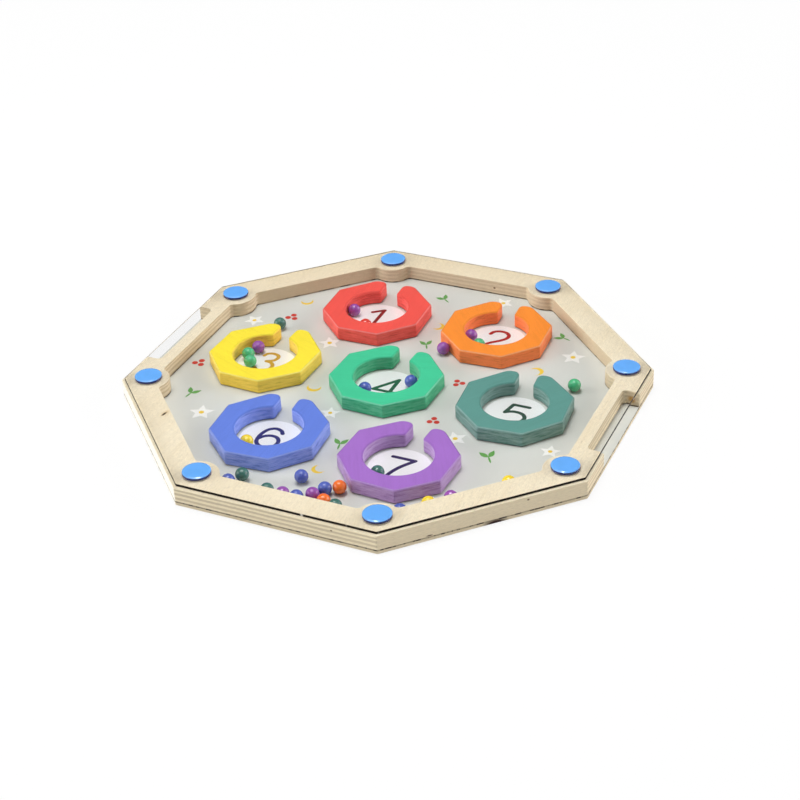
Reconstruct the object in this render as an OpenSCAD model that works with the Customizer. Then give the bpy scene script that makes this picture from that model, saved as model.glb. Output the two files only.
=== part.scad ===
// Magnetic maze board: a printed base, a plywood frame and a clear cover close a flat chamber,
// in which loose steel balls are led from outside into seven numbered C-shaped rings.
// The origin is the centre of the underside, with +Z up and the octagon's corners on X and Y.

/* [Base and frame] */
// Thickness of the printed base board
base_t = 2.2; // [1.5:0.1:6]
// Width of the frame, square to its sides
frame_w = 17.2; // [13:0.1:30]
// Radius of the round boss inside each corner of the frame
boss_r = 12; // [9:0.5:15]
// Distance of each corner fastener from the frame's outer corner
fastener_inset = 15.6; // [11:0.1:20]
// Length of the pen pocket in each of two opposite sides
pocket_l = 62.5; // [30:0.5:75]
// Depth of the pen pocket, from the frame's outer face
pocket_d = 9.7; // [4:0.1:12]
// Radius in the two inner corners of the pen pocket
pocket_r = 2.5; // [1:0.5:4]
// How far the outer corners of the octagon are eased back
corner_ease = 0.2; // [0.1:0.1:2]

/* [Rings] */
// Bore of each ring
ring_bore = 38; // [34:1:50]
// Wall of each ring, from its bore to its flats
ring_wall = 11.7; // [8:0.1:16]
// Rounding of the ring's upper and lower edges
ring_edge = 1; // [0.4:0.1:2]
// Rounding of the ring's two ends on the outside, seen from above
ring_end_r = 3.5; // [1:0.5:5]
// Rounding of the ring's two ends towards the bore
ring_tip_r = 2; // [0.5:0.5:4]
// How far the ring's eight corners are eased back
ring_ease = 0.2; // [0.1:0.1:1]
// Lane between the corners of two rings
ring_lane = 13.5; // [12:0.5:30]
// Lane between the outer rings' corners and the frame
wall_lane = 10; // [9.5:0.1:30]
// One step by which a ring is glued off its place on the pitch circle
ring_drift = 0.5; // [0:0.1:0.8]

/* [Balls] */
// Diameter of each ball
ball_d = 7.5; // [6:0.1:8.5]
// Free height over a ball, under the cover
head_room = 1.5; // [0.8:0.1:4]
// Free width beside a ball in a ring's mouth
mouth_play = 3; // [1:0.5:6]

/* [Cover and corner fasteners] */
// Thickness of the clear cover
cover_t = 1.5; // [1:0.1:4]
// How far the cover's edge stands back from the frame's outer face
cover_inset = 1.6; // [0.5:0.1:3]
// Diameter of a corner cap
cap_d = 15.5; // [12:0.5:20]
// Height of a corner cap over the cover
cap_h = 1.9; // [1.4:0.1:4]
// Height of the cap's straight rim, under its dome
cap_rim = 0.9; // [0.5:0.1:1.2]
// Diameter of the cap's hollow shank
shank_d = 6; // [5:0.1:8]
// Diameter of the screw that holds the cap from below
screw_d = 3; // [2.5:0.1:3.5]
// Diameter of the screw's countersunk head
screw_head_d = 5.8; // [5:0.1:8]
// Spare depth of the shank's bore over the screw's point
pilot_spare = 1; // [0.5:0.1:2]

/* [Clearances] */
// Gap all round a shank or a screw in its hole
hole_gap = 0.2; // [0.1:0.05:0.4]
// Gap between the top of the rings and the cover
ring_gap = 0.2; // [0.1:0.05:0.5]
// Gap round a ball at rest
ball_gap = 0.2; // [0.1:0.05:0.4]
// Bite of the screw's thread in the cap's shank, on the radius
thread_bite = 0.25; // [0.1:0.05:0.4]
// How far the screw's head lies inside the underside
head_recess = 0.2; // [0.1:0.05:0.5]

/* [Hidden] */
SIDES = 8;
HALF = 180 / SIDES;
ROUND = 96;
SMALL_ROUND = 48;
EDGE_STEP = 22.5;
OVER = 1;

ball_r = ball_d / 2;
ball_step = ball_d + ball_gap;
frame_t = ball_d + head_room;
ring_h = frame_t - ring_gap;
bore_r = ring_bore / 2;
ring_flat = bore_r + ring_wall;
ring_corner = ring_flat / cos(HALF);
ring_mouth = ball_d + mouth_play;
ring_pitch = 2 * ring_corner + ring_lane;
inner_flat = ring_pitch + ring_corner + wall_lane;
outer_flat = inner_flat + frame_w;
outer_corner = outer_flat / cos(HALF);
fastener_at = outer_corner - fastener_inset;
frame_top = base_t + frame_t;
cover_top = frame_top + cover_t;
shank_hole_d = shank_d + 2 * hole_gap;
pilot_d = screw_d - 2 * thread_bite;
screw_hole_d = screw_d + 2 * hole_gap;
// The screw's point ends its own diameter under the cover
screw_top = frame_top - screw_d;
head_cone = (screw_head_d - screw_d) / 2;

WOOD = [0.90, 0.82, 0.66];
PRINT_GREY = [0.78, 0.80, 0.77];
CAP_BLUE = [0.36, 0.64, 0.93];
STEEL = [0.72, 0.72, 0.74];
CLEAR = [0.85, 0.92, 0.95, 0.3];
RED = [0.93, 0.30, 0.28];
ORANGE = [1.00, 0.55, 0.18];
YELLOW = [0.98, 0.86, 0.24];
GREEN = [0.26, 0.76, 0.56];
PINE = [0.22, 0.45, 0.40];
BLUE = [0.34, 0.44, 0.85];
PURPLE = [0.62, 0.38, 0.76];

// Each ring: angle of its place, pitches from the centre, steps of drift outwards, turn as glued, colour
RINGS = [
    [96, 1, -2, 2, RED],
    [38, 1, 2, 3.5, ORANGE],
    [158.5, 1, -5, -2, YELLOW],
    [0, 0, 0, -2, GREEN],
    [-23, 1, -3, 5, PINE],
    [219, 1, 1, 4, BLUE],
    [-83.5, 1, 3, -2.5, PURPLE]
];
// The sides of the octagon that have a pen pocket, the mouth's flat, the corner by the crowd of balls
// and the two front sides
POCKET_SIDES = [3, 7];
MOUTH_FLAT = 1;
CROWD_CORNER = 5;
FRONT_LEFT = 5;
FRONT_RIGHT = 6;

function dir(a) = [cos(a), sin(a)];
function side_angle(k) = HALF + 2 * HALF * k;
function ring_at(n) =
    let (row = RINGS[n - 1])
    (row[1] * ring_pitch + row[2] * ring_drift) * dir(row[0]);
function ring_turn(n) = RINGS[n - 1][3];

// Along a side, in ball steps, where a ball lies in the corner between the wall and a boss
ball_wall_flat = inner_flat - ball_r - ball_gap;
boss_reach = boss_r + ball_r + ball_gap;
boss_offset = fastener_at * cos(HALF) - ball_wall_flat;
corner_gap = sqrt(pow(boss_reach, 2) - pow(boss_offset, 2));
corner_along = (fastener_at * sin(HALF) - corner_gap) / ball_step;

// Places of the balls, in plan: against a bore, by a ring's flat, along a wall.
// The distances along, off and rows are counted in ball steps.
function in_bore(n, angle, off = 0) =
    ring_at(n) + (bore_r - ball_r - ball_gap - off * ball_step) * dir(angle);
function by_flat(n, k, along, off = 0) =
    let (a = ring_turn(n) + side_angle(k), out = ring_flat + ball_r + ball_gap + off * ball_step)
    ring_at(n) + out * dir(a) + along * ball_step * dir(a + 90);
function by_wall(k, along, rows = 0) =
    (ball_wall_flat - rows * ball_step) * dir(side_angle(k)) + along * ball_step * dir(side_angle(k) + 90);
// The crowd by the front left wall, counted in balls to the left of the one beside ring 7's near corner
crowd_corner = ring_at(7) + ring_corner * dir(ring_turn(7) + 2 * HALF * CROWD_CORNER);
crowd_along = crowd_corner * dir(side_angle(FRONT_LEFT) + 90) / ball_step - 0.52;
function in_crowd(balls, rows = 0) = by_wall(FRONT_LEFT, crowd_along - balls, rows);

BALLS = [
    ["ball_purple_1", PURPLE, in_bore(1, 161)],
    ["ball_red_1", RED, in_bore(1, 244)],
    ["ball_purple_3", PURPLE, in_bore(2, 180)],
    ["ball_green_1", GREEN, in_bore(2, 225)],
    ["ball_purple_4", PURPLE, by_flat(2, 4, -0.13)],
    ["ball_purple_5", PURPLE, in_bore(3, 113, 0.13)],
    ["ball_green_2", GREEN, in_bore(3, 153, 0.39)],
    ["ball_green_3", GREEN, in_bore(3, 201, 0.74)],
    ["ball_pine_1", PINE, by_flat(3, MOUTH_FLAT, 1.56, 0.51)],
    ["ball_blue_1", BLUE, in_bore(4, 210, 0.13)],
    ["ball_blue_2", BLUE, in_bore(4, -2, 0.13)],
    ["ball_green_4", GREEN, by_flat(5, 0, 0.58, 0.82)],
    ["ball_yellow_1", YELLOW, in_bore(6, 215, 0.07)],
    ["ball_pine_2", PINE, in_bore(7, 220, 0.07)],
    ["ball_blue_3", BLUE, by_wall(FRONT_LEFT, -corner_along)],
    ["ball_pine_3", PINE, by_wall(FRONT_LEFT, 0.55 - corner_along, 1)],
    ["ball_pine_4", PINE, in_crowd(4.68)],
    ["ball_purple_6", PURPLE, in_crowd(3.5)],
    ["ball_blue_4", BLUE, in_crowd(2.45)],
    ["ball_purple_7", PURPLE, in_crowd(1.56, 0.66)],
    ["ball_blue_5", BLUE, in_crowd(1.06, 1.53)],
    ["ball_orange_1", ORANGE, in_crowd(0.53, 0.25)],
    ["ball_orange_2", ORANGE, in_crowd(0.2, 2.05)],
    ["ball_pine_5", PINE, in_crowd(-0.45)],
    ["ball_blue_6", BLUE, in_crowd(3.2, 2.25)],
    ["ball_blue_7", BLUE, by_wall(FRONT_RIGHT, -corner_along)],
    ["ball_yellow_2", YELLOW, by_wall(FRONT_RIGHT, -2.86)],
    ["ball_purple_2", PURPLE, by_wall(FRONT_RIGHT, -1.23)],
    ["ball_yellow_3", YELLOW, by_wall(FRONT_RIGHT, 2.99)]
];

// Octagon of a given distance to its flats, with its corners eased by an arc
module octagon(flat) {
    corner = flat / cos(HALF);
    intersection() {
        circle(r = corner, $fn = SIDES);
        circle(r = corner - corner_ease, $fn = ROUND);
    }
}

// Its children at each corner fastener
module at_fasteners() {
    for (k = [0 : SIDES - 1])
        rotate(2 * HALF * k)
            translate([fastener_at, 0])
                children();
}

// Outline of one pen pocket, square to a side, with rounded inner corners
module pocket_outline() {
    mouth = outer_flat + OVER;
    floor_at = outer_flat - pocket_d;
    difference() {
        translate([floor_at, -pocket_l / 2])
            square([mouth - floor_at, pocket_l]);
        for (s = [-1, 1])
            translate([floor_at, s * (pocket_l / 2)])
                pocket_corner(s);
    }
}

// The small piece that stays in a pocket's inner corner, s being its side
module pocket_corner(s) {
    low = s > 0 ? -pocket_r : 0;
    difference() {
        translate([0, low])
            square(pocket_r);
        translate([pocket_r, -s * pocket_r])
            circle(r = pocket_r, $fn = SMALL_ROUND);
    }
}

module base_board() {
    color(PRINT_GREY)
        difference() {
            linear_extrude(base_t)
                octagon(outer_flat);
            at_fasteners()
                screw_hole();
        }
}

// Clearance hole for one screw, countersunk from below
module screw_hole() {
    head_d = screw_head_d + 2 * hole_gap;
    cone_h = (head_d - screw_hole_d) / 2;
    translate([0, 0, -OVER])
        cylinder(d = screw_hole_d, h = base_t + 2 * OVER, $fn = SMALL_ROUND);
    translate([0, 0, -OVER])
        cylinder(d = head_d, h = OVER + head_recess, $fn = SMALL_ROUND);
    translate([0, 0, head_recess])
        cylinder(d1 = head_d, d2 = screw_hole_d, h = cone_h, $fn = SMALL_ROUND);
}

module frame() {
    color(WOOD)
        translate([0, 0, base_t])
            linear_extrude(frame_t)
                frame_outline();
}

module frame_outline() {
    difference() {
        octagon(outer_flat);
        difference() {
            circle(r = inner_flat / cos(HALF), $fn = SIDES);
            at_fasteners()
                circle(r = boss_r, $fn = ROUND);
        }
        at_fasteners()
            circle(d = shank_hole_d, $fn = SMALL_ROUND);
        for (k = POCKET_SIDES)
            rotate(side_angle(k))
                pocket_outline();
    }
}

module cover_sheet() {
    color(CLEAR)
        translate([0, 0, frame_top])
            linear_extrude(cover_t)
                difference() {
                    octagon(outer_flat - cover_inset);
                    at_fasteners()
                        circle(d = shank_hole_d, $fn = SMALL_ROUND);
                }
}

module corner_caps() {
    color(CAP_BLUE)
        at_fasteners()
            corner_cap();
}

// One cap: a low dome over a straight rim, and a hollow shank down to the base board
module corner_cap() {
    shank_low = base_t + hole_gap;
    dome_h = cap_h - cap_rim;
    dome_r = (pow(cap_d / 2, 2) + pow(dome_h, 2)) / (2 * dome_h);
    pilot_top = screw_top + pilot_spare;
    difference() {
        union() {
            translate([0, 0, cover_top])
                cylinder(d = cap_d, h = cap_rim, $fn = ROUND);
            intersection() {
                translate([0, 0, cover_top + cap_h - dome_r])
                    sphere(r = dome_r, $fn = ROUND);
                translate([0, 0, cover_top + cap_rim])
                    cylinder(d = cap_d, h = dome_h, $fn = ROUND);
            }
            translate([0, 0, shank_low])
                cylinder(d = shank_d, h = cover_top - shank_low, $fn = SMALL_ROUND);
        }
        translate([0, 0, shank_low - OVER])
            cylinder(d = pilot_d, h = pilot_top - shank_low + OVER, $fn = SMALL_ROUND);
    }
}

module corner_screws() {
    color(STEEL)
        at_fasteners()
            corner_screw();
}

module corner_screw() {
    translate([0, 0, head_recess]) {
        cylinder(d1 = screw_head_d, d2 = screw_d, h = head_cone, $fn = SMALL_ROUND);
        cylinder(d = screw_d, h = screw_top - head_recess, $fn = SMALL_ROUND);
    }
}

// One ring, glued down: an octagon with a round bore and a mouth through one of its flats
module ring(n) {
    color(RINGS[n - 1][4])
        translate([ring_at(n).x, ring_at(n).y, base_t])
            rotate(ring_turn(n))
                difference() {
                    ring_blank();
                    ring_bore_cut();
                    rotate(side_angle(MOUTH_FLAT))
                        translate([0, 0, -OVER])
                            linear_extrude(ring_h + 2 * OVER)
                                mouth_outline();
                }
}

// Eight-sided blank with rounded upper and lower edges
module ring_blank() {
    core = ring_corner - ring_edge;
    low = [for (a = [-90 : EDGE_STEP : 0]) [core, ring_edge] + ring_edge * dir(a)];
    high = [for (a = [0 : EDGE_STEP : 90]) [core, ring_h - ring_edge] + ring_edge * dir(a)];
    intersection() {
        rotate_extrude($fn = SIDES)
            polygon(concat([[0, 0]], low, high, [[0, ring_h]]));
        cylinder(r = ring_corner - ring_ease, h = ring_h, $fn = ROUND);
    }
}

// The bore, which opens with the same rounding at both ends
module ring_bore_cut() {
    wide = bore_r + ring_edge;
    low = [for (a = [270 : -EDGE_STEP : 180]) [wide, ring_edge] + ring_edge * dir(a)];
    high = [for (a = [180 : -EDGE_STEP : 90]) [wide, ring_h - ring_edge] + ring_edge * dir(a)];
    rotate_extrude($fn = ROUND)
        polygon(concat([[0, -OVER], [wide, -OVER]], low, high, [[wide, ring_h + OVER], [0, ring_h + OVER]]));
}

// Slot of the mouth along +X, flared by the round of the two ends on both sides
module mouth_outline() {
    translate([0, -ring_mouth / 2])
        square([ring_corner, ring_mouth]);
    for (s = [0, 1])
        mirror([0, s]) {
            end_round();
            tip_round();
        }
}

// What the round of one end takes off on the outside
module end_round() {
    translate([ring_flat - ring_end_r, ring_mouth / 2])
        difference() {
            square([ring_end_r + OVER, ring_end_r]);
            translate([0, ring_end_r])
                circle(r = ring_end_r, $fn = SMALL_ROUND);
        }
}

// What the round of one end takes off towards the bore, tangent to the bore and to the slot
module tip_round() {
    tip_y = ring_mouth / 2 + ring_tip_r;
    tip_x = sqrt(pow(bore_r + ring_tip_r, 2) - pow(tip_y, 2));
    on_bore = [tip_x, tip_y] * bore_r / (bore_r + ring_tip_r);
    on_slot = [tip_x, ring_mouth / 2];
    difference() {
        polygon([on_bore, [on_bore.x, 0], [tip_x, 0], on_slot, [tip_x, tip_y]]);
        translate([tip_x, tip_y])
            circle(r = ring_tip_r, $fn = SMALL_ROUND);
    }
}

module ball(b) {
    color(b[1])
        translate([b[2].x, b[2].y, base_t + ball_gap + ball_r])
            sphere(d = ball_d, $fn = SMALL_ROUND);
}

base_board();
frame();
cover_sheet();
corner_caps();
corner_screws();
for (n = [1 : len(RINGS)])
    ring(n);
for (b = BALLS)
    ball(b);
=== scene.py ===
import math

import bmesh
import bpy
import numpy as np
from mathutils import Matrix, Vector


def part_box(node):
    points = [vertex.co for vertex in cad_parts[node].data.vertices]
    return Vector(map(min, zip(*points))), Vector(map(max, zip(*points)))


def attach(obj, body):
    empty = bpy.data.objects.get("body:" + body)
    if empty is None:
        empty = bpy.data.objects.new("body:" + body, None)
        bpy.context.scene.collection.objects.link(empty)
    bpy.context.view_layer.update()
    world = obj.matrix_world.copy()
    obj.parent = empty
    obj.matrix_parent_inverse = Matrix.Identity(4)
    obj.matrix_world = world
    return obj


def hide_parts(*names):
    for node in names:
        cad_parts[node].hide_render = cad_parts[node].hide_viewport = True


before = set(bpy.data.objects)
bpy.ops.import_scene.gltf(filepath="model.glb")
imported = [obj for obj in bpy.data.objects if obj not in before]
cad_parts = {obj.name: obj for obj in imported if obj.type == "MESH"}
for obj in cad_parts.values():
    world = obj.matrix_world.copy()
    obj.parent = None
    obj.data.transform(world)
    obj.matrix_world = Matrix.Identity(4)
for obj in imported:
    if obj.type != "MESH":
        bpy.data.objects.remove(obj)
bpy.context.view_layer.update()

scene = bpy.context.scene
MM = 0.001  # in metres
SIDES = 8
HALF = 180 / SIDES  # half of the angle from one side to the next
COS_HALF = math.cos(math.radians(HALF))


def level_of(node, end):
    """Height of a CAD node's lowest point, with end 0, or of its highest, with end 1, in mm."""
    return round(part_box(node)[end].z / MM, 3)


# Heights of the solids, in mm
BASE_T = level_of("base_board", 1)
FRAME_TOP = level_of("frame", 1)
COVER_TOP = level_of("cover_sheet", 1)
CAP_TOP = level_of("corner_caps", 1)
RING_TOP = level_of("ring_1", 1)
SCREW_LOW = level_of("corner_screws", 0)
SCREW_TOP = level_of("corner_screws", 1)

# Sizes of the solids, in mm
BORE_R = 19  # of a ring
RING_WALL = 11.7  # from the bore to a flat
RING_LANE = 13.5  # between the corners of two rings
WALL_LANE = 10  # between a ring's corner and the frame
HALF_MOUTH = 5.25  # half of a mouth's width
RING_END_R = 3.5  # round at the outer end of a mouth
RING_TIP_R = 2  # round between a mouth and the bore
FRAME_W = 17.2  # width of the frame's wall
BOSS_R = 12
POCKET_L = 62.5
POCKET_D = 9.7
POCKET_R = 2.5
POCKET_SIDES = (3, 7)
FASTENER_INSET = 15.6  # from the frame's corner
COVER_INSET = 1.6
CAP_R = 7.75
SHANK_R = 3
PILOT_R = 1.25  # of the screw's hole in a cap
PILOT_SPARE = 1  # from the screw's point to the end of its hole
SCREW_R = 1.5
SCREW_HEAD_R = 2.9
HOLE_GAP = 0.2

RING_FLAT = BORE_R + RING_WALL
RING_CORNER = RING_FLAT / COS_HALF
RING_PITCH = 2 * RING_CORNER + RING_LANE
INNER = RING_PITCH + RING_CORNER + WALL_LANE
OUTER = INNER + FRAME_W
POCKET_FLOOR = OUTER - POCKET_D
FASTENER_AT = OUTER / COS_HALF - FASTENER_INSET
SHANK_HOLE_R = SHANK_R + HOLE_GAP
SCREW_HOLE_R = SCREW_R + HOLE_GAP

# Roundings of the finished pieces, in mm: corners seen from above, and edges
BOSS_FILLET = 3
POCKET_LIP_R = 0.8
FRAME_CORNER_R = 1.4
FRAME_EDGE = 0.35
BASE_CORNER_R = 2
BASE_EDGE = 0.25
COVER_CORNER_R = 1
COVER_EDGE = 0.15
RING_CORNER_R = 1.5
RING_MOUTH_R = 6.5
RING_EDGE = 1.1

# Straight parts in a full circle, in an arc and in the quarter round of an edge
HOLE_PARTS = 32
SCREW_PARTS = 40
CAP_PARTS = 64
DISC_PARTS = 96
MOTIF_PARTS = 24
CORNER_PARTS = 8
END_PARTS = 10
BORE_PARTS = 100
BOSS_PARTS = 28
RIM_PARTS = 6
CURVE_PARTS = 8
BOARD_EDGE_PARTS = 4
COVER_EDGE_PARTS = 3
RING_EDGE_PARTS = 6

# Angle from which an edge is shaded sharp, and how far large faces lead the shading of round edges
SHARP_ANGLE = 40
NORMAL_WEIGHT = 80
# Size of a normal's z from which a face counts as level, and below which it counts as an edge
LEVEL_FACE = 0.99
EDGE_FACE = 0.95

# The print, the mouths of the rings and the face grain of the plywood all run along this direction
UP = 3 * HALF

# Each ring: angle of its place, pitches from the centre, mm off that place, turn as glued, colour
RINGS = [
    (96, 1, -1, 2, "red"),
    (38, 1, 1, 3.5, "orange"),
    (158.5, 1, -2.5, -2, "yellow"),
    (0, 0, 0, -2, "green"),
    (-23, 1, -1.5, 5, "teal"),
    (219, 1, 0.5, 4, "blue"),
    (-83.5, 1, 1.5, -2.5, "purple"),
]


# Places and outlines, in mm

def polar(r, deg):
    """Point at a distance and an angle from the origin."""
    a = math.radians(deg)
    return Vector((r * math.cos(a), r * math.sin(a)))


def ring_places():
    """Centre of each ring in plan."""
    return [polar(pitches * RING_PITCH + off, angle) for angle, pitches, off, *_ in RINGS]


def fasteners():
    """Centre of each corner fastener in plan."""
    return [polar(FASTENER_AT, 2 * HALF * k) for k in range(SIDES)]


def side_axes(k):
    """Directions square to a side of the octagon and along it."""
    square = HALF + 2 * HALF * k
    return polar(1, square), polar(1, square + 90)


def on_side(k, along, z, flat):
    """Point on a wall of the octagon, by its distance along the wall and its height."""
    n, t = side_axes(k)
    return (*(n * flat + t * along), z)


def arc(centre, r, start, end, parts):
    """Points of an arc from one angle to another, both ends included."""
    return [Vector(centre) + polar(r, start + (end - start) * i / parts) for i in range(parts + 1)]


def circle(centre, r, parts, hole=False):
    """Closed round outline, which runs clockwise for a hole."""
    pts = arc(centre, r, 0, 360, parts)[:-1]
    return pts[::-1] if hole else pts


def rounded(corners):
    """Closed outline through corners (point, radius), each rounded by an arc."""
    out = []
    for i, (p, r) in enumerate(corners):
        u = (corners[i - 1][0] - p).normalized()
        v = (corners[(i + 1) % len(corners)][0] - p).normalized()
        half = u.angle(v) / 2
        centre = p + (u + v).normalized() * r / math.sin(half)
        first = p + u * r / math.tan(half) - centre
        last = p + v * r / math.tan(half) - centre
        start = math.degrees(math.atan2(first.y, first.x))
        turn = math.degrees(math.atan2(last.y, last.x)) - start
        turn = (turn + 180) % 360 - 180
        out += arc(centre, r, start, start + turn, CORNER_PARTS)
    return out


def octagon(flat, r):
    """Octagon of a given distance to its flats, with rounded corners."""
    return rounded([(polar(flat / COS_HALF, 2 * HALF * k), r) for k in range(SIDES)])


def fastener_holes(r):
    """Outlines of the eight holes for the fasteners."""
    return [circle(c, r, HOLE_PARTS, True) for c in fasteners()]


def frame_outer():
    """Outer outline of the frame, with its two pen pockets."""
    corners = []
    for k in range(SIDES):
        n, t = side_axes(k)
        corners.append((polar(OUTER / COS_HALF, 2 * HALF * k), FRAME_CORNER_R))
        if k in POCKET_SIDES:
            end = t * POCKET_L / 2
            corners += [(n * OUTER - end, POCKET_LIP_R), (n * POCKET_FLOOR - end, POCKET_R)]
            corners += [(n * POCKET_FLOOR + end, POCKET_R), (n * OUTER + end, POCKET_LIP_R)]
    return rounded(corners)


def frame_inner():
    """Inner outline of the frame, as a hole: the walls, the bosses and a fillet where they meet."""
    out = []
    # The centre of a fillet lies this far from the boss's centre, square to the wall and along it.
    # Boss and fillet touch at the angle meet.
    depth = INNER - FASTENER_AT * COS_HALF - BOSS_FILLET
    reach = math.sqrt((BOSS_R + BOSS_FILLET) ** 2 - depth ** 2)
    meet = math.degrees(math.atan2(-depth, reach))
    along = 90 - HALF
    for k, c in enumerate(fasteners()):
        far = 180 + 2 * HALF * k
        before = c + polar(reach, far + along) - polar(depth, far - HALF)
        behind = c + polar(reach, far - along) - polar(depth, far + HALF)
        out += arc(before, BOSS_FILLET, far - 180 - HALF, far - 90 - HALF - meet, CORNER_PARTS)
        out += arc(c, BOSS_R, far + along - meet, far - along + meet, BOSS_PARTS)[1:-1]
        out += arc(behind, BOSS_FILLET, far + 90 + HALF + meet, far + 180 + HALF, CORNER_PARTS)
    return out[::-1]


def ring_outline():
    """One ring with its mouth along +X, as a closed outline. The corners by the mouth are rounder."""
    tip_y = HALF_MOUTH + RING_TIP_R
    tip_x = math.sqrt((BORE_R + RING_TIP_R) ** 2 - tip_y ** 2)
    tip_turn = math.degrees(math.atan2(tip_y, tip_x))
    end_x = RING_FLAT - RING_END_R
    end_y = HALF_MOUTH + RING_END_R
    out = arc((end_x, end_y), RING_END_R, -90, 0, END_PARTS)
    for k in range(SIDES):
        r = RING_MOUTH_R if k in (0, SIDES - 1) else RING_CORNER_R
        centre = polar(RING_CORNER - r / COS_HALF, HALF + 2 * HALF * k)
        out += arc(centre, r, 2 * HALF * k, 2 * HALF * (k + 1), CORNER_PARTS)
    out += arc((end_x, -end_y), RING_END_R, 0, 90, END_PARTS)
    out += arc((tip_x, -tip_y), RING_TIP_R, 90, 180 - tip_turn, CORNER_PARTS)
    out += arc((0, 0), BORE_R, -tip_turn, tip_turn - 360, BORE_PARTS)[1:-1]
    out += arc((tip_x, tip_y), RING_TIP_R, 180 + tip_turn, 270, CORNER_PARTS)
    return out


# Meshes

def miters(loop):
    """For each point, the vector that moves it out of the solid by 1."""
    n = len(loop)
    sides = []
    for i in range(n):
        d = (loop[(i + 1) % n] - loop[i]).normalized()
        sides.append(Vector((d.y, -d.x)))
    return [(sides[i - 1] + sides[i]) / (1 + sides[i - 1].dot(sides[i])) for i in range(n)]


def edge_rows(low, high, edge, parts):
    """Rows (inset, height) of an upright wall with rounded edges."""
    rows = []
    for i in range(parts + 1):
        a = math.pi / 2 * i / parts
        rows.append((edge * (1 - math.sin(a)), low + edge * (1 - math.cos(a))))
    return rows + [(inset, low + high - z) for inset, z in reversed(rows)]


def add_slab(bm, loops, rows, mat=0):
    """Adds a closed plate. Its outline runs counterclockwise, its holes clockwise, each with its rows."""
    ends = [[], []]
    faces = []
    for loop, profile in zip(loops, rows):
        out = miters(loop)
        levels = []
        for inset, z in profile:
            moved = [p - m * inset for p, m in zip(loop, out)]
            levels.append([bm.verts.new((p.x * MM, p.y * MM, z * MM)) for p in moved])
        n = len(loop)
        for a, b in zip(levels, levels[1:]):
            faces += [bm.faces.new((a[i], a[(i + 1) % n], b[(i + 1) % n], b[i])) for i in range(n)]
        for end, level in zip(ends, (levels[0], levels[-1])):
            end += [bm.edges.get((level[i], level[(i + 1) % n])) for i in range(n)]
    for end, up in zip(ends, (-1, 1)):
        made = bmesh.ops.triangle_fill(bm, use_beauty=True, edges=end, normal=(0, 0, up))
        faces += [f for f in made["geom"] if isinstance(f, bmesh.types.BMFace)]
    for f in faces:
        f.material_index = mat


def add_lathe(bm, profile, centre, parts):
    """Adds a solid of revolution: profile (radius, height) runs from the axis to the axis."""
    levels = []
    for r, z in profile:
        ring = circle(centre, r, parts) if r else [centre]
        levels.append([bm.verts.new((p.x * MM, p.y * MM, z * MM)) for p in ring])
    for a, b in zip(levels, levels[1:]):
        for i in range(parts):
            j = (i + 1) % parts
            quad = [a[i % len(a)], a[j % len(a)], b[j % len(b)], b[i % len(b)]]
            bm.faces.new(dict.fromkeys(quad))


def piece(bm, name, mats, stands_for=None):
    """Makes a smooth shaded object of a mesh, which rides on the board."""
    bmesh.ops.recalc_face_normals(bm, faces=bm.faces)
    mesh = bpy.data.meshes.new(name)
    bm.to_mesh(mesh)
    bm.free()
    for m in mats:
        mesh.materials.append(m)
    mesh.polygons.foreach_set("use_smooth", [True] * len(mesh.polygons))
    mesh.set_sharp_from_angle(angle=math.radians(SHARP_ANGLE))
    obj = bpy.data.objects.new(name, mesh)
    scene.collection.objects.link(obj)
    weighted = obj.modifiers.new("Weighted", "WEIGHTED_NORMAL")
    weighted.weight = NORMAL_WEIGHT
    weighted.keep_sharp = True
    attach(obj, "board")
    if stands_for:
        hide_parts(stands_for)


def contours(field, low, high, step):
    """Closed outlines of the region where field is negative, traced on a grid, the inside on the left."""
    xs, ys = np.arange(low[0], high[0], step), np.arange(low[1], high[1], step)
    f = field(*np.meshgrid(xs, ys))
    # For each set of corners inside, the sides by which the outline enters and leaves a cell
    table = {1: "BL", 2: "RB", 3: "RL", 4: "TR", 5: "BLTR", 6: "TB", 7: "TL", 8: "LT",
             9: "BT", 10: "RBLT", 11: "RT", 12: "LR", 13: "BR", 14: "LB"}
    inside = (f < 0).astype(int)
    code = inside[:-1, :-1] + 2 * inside[:-1, 1:] + 4 * inside[1:, 1:] + 8 * inside[1:, :-1]

    def crossing(i, j, side):
        """Name and place of the point where the outline crosses a side of a cell."""
        if side in "BT":
            j += side == "T"
            w = f[j, i] / (f[j, i] - f[j, i + 1])
            return ("h", i, j), Vector((xs[i] + w * step, ys[j]))
        i += side == "R"
        w = f[j, i] / (f[j, i] - f[j + 1, i])
        return ("v", i, j), Vector((xs[i], ys[j] + w * step))

    after, place = {}, {}
    for j, i in np.argwhere(np.isin(code, list(table))):
        sides = table[int(code[j, i])]
        for s, e in zip(sides[::2], sides[1::2]):
            (a, pa), (b, pb) = crossing(i, j, s), crossing(i, j, e)
            after[a] = b
            place[a], place[b] = pa, pb
    loops = []
    while after:
        key, loop = next(iter(after)), []
        while key in after:
            loop.append(place[key])
            key = after.pop(key)
        loops.append(loop)
    return loops


def spline(points):
    """Smooth path through the points."""
    p = [Vector(points[0]) * 2 - Vector(points[1])] + [Vector(q) for q in points]
    p.append(p[-1] * 2 - p[-2])
    out = []
    for a, b, c, d in zip(p, p[1:], p[2:], p[3:]):
        square, cube = 2 * a - 5 * b + 4 * c - d, 3 * b - a - 3 * c + d
        for t in [i / CURVE_PARTS for i in range(CURVE_PARTS)]:
            out.append(0.5 * (2 * b + (c - a) * t + square * t ** 2 + cube * t ** 3))
    return out + [p[-2]]


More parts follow.
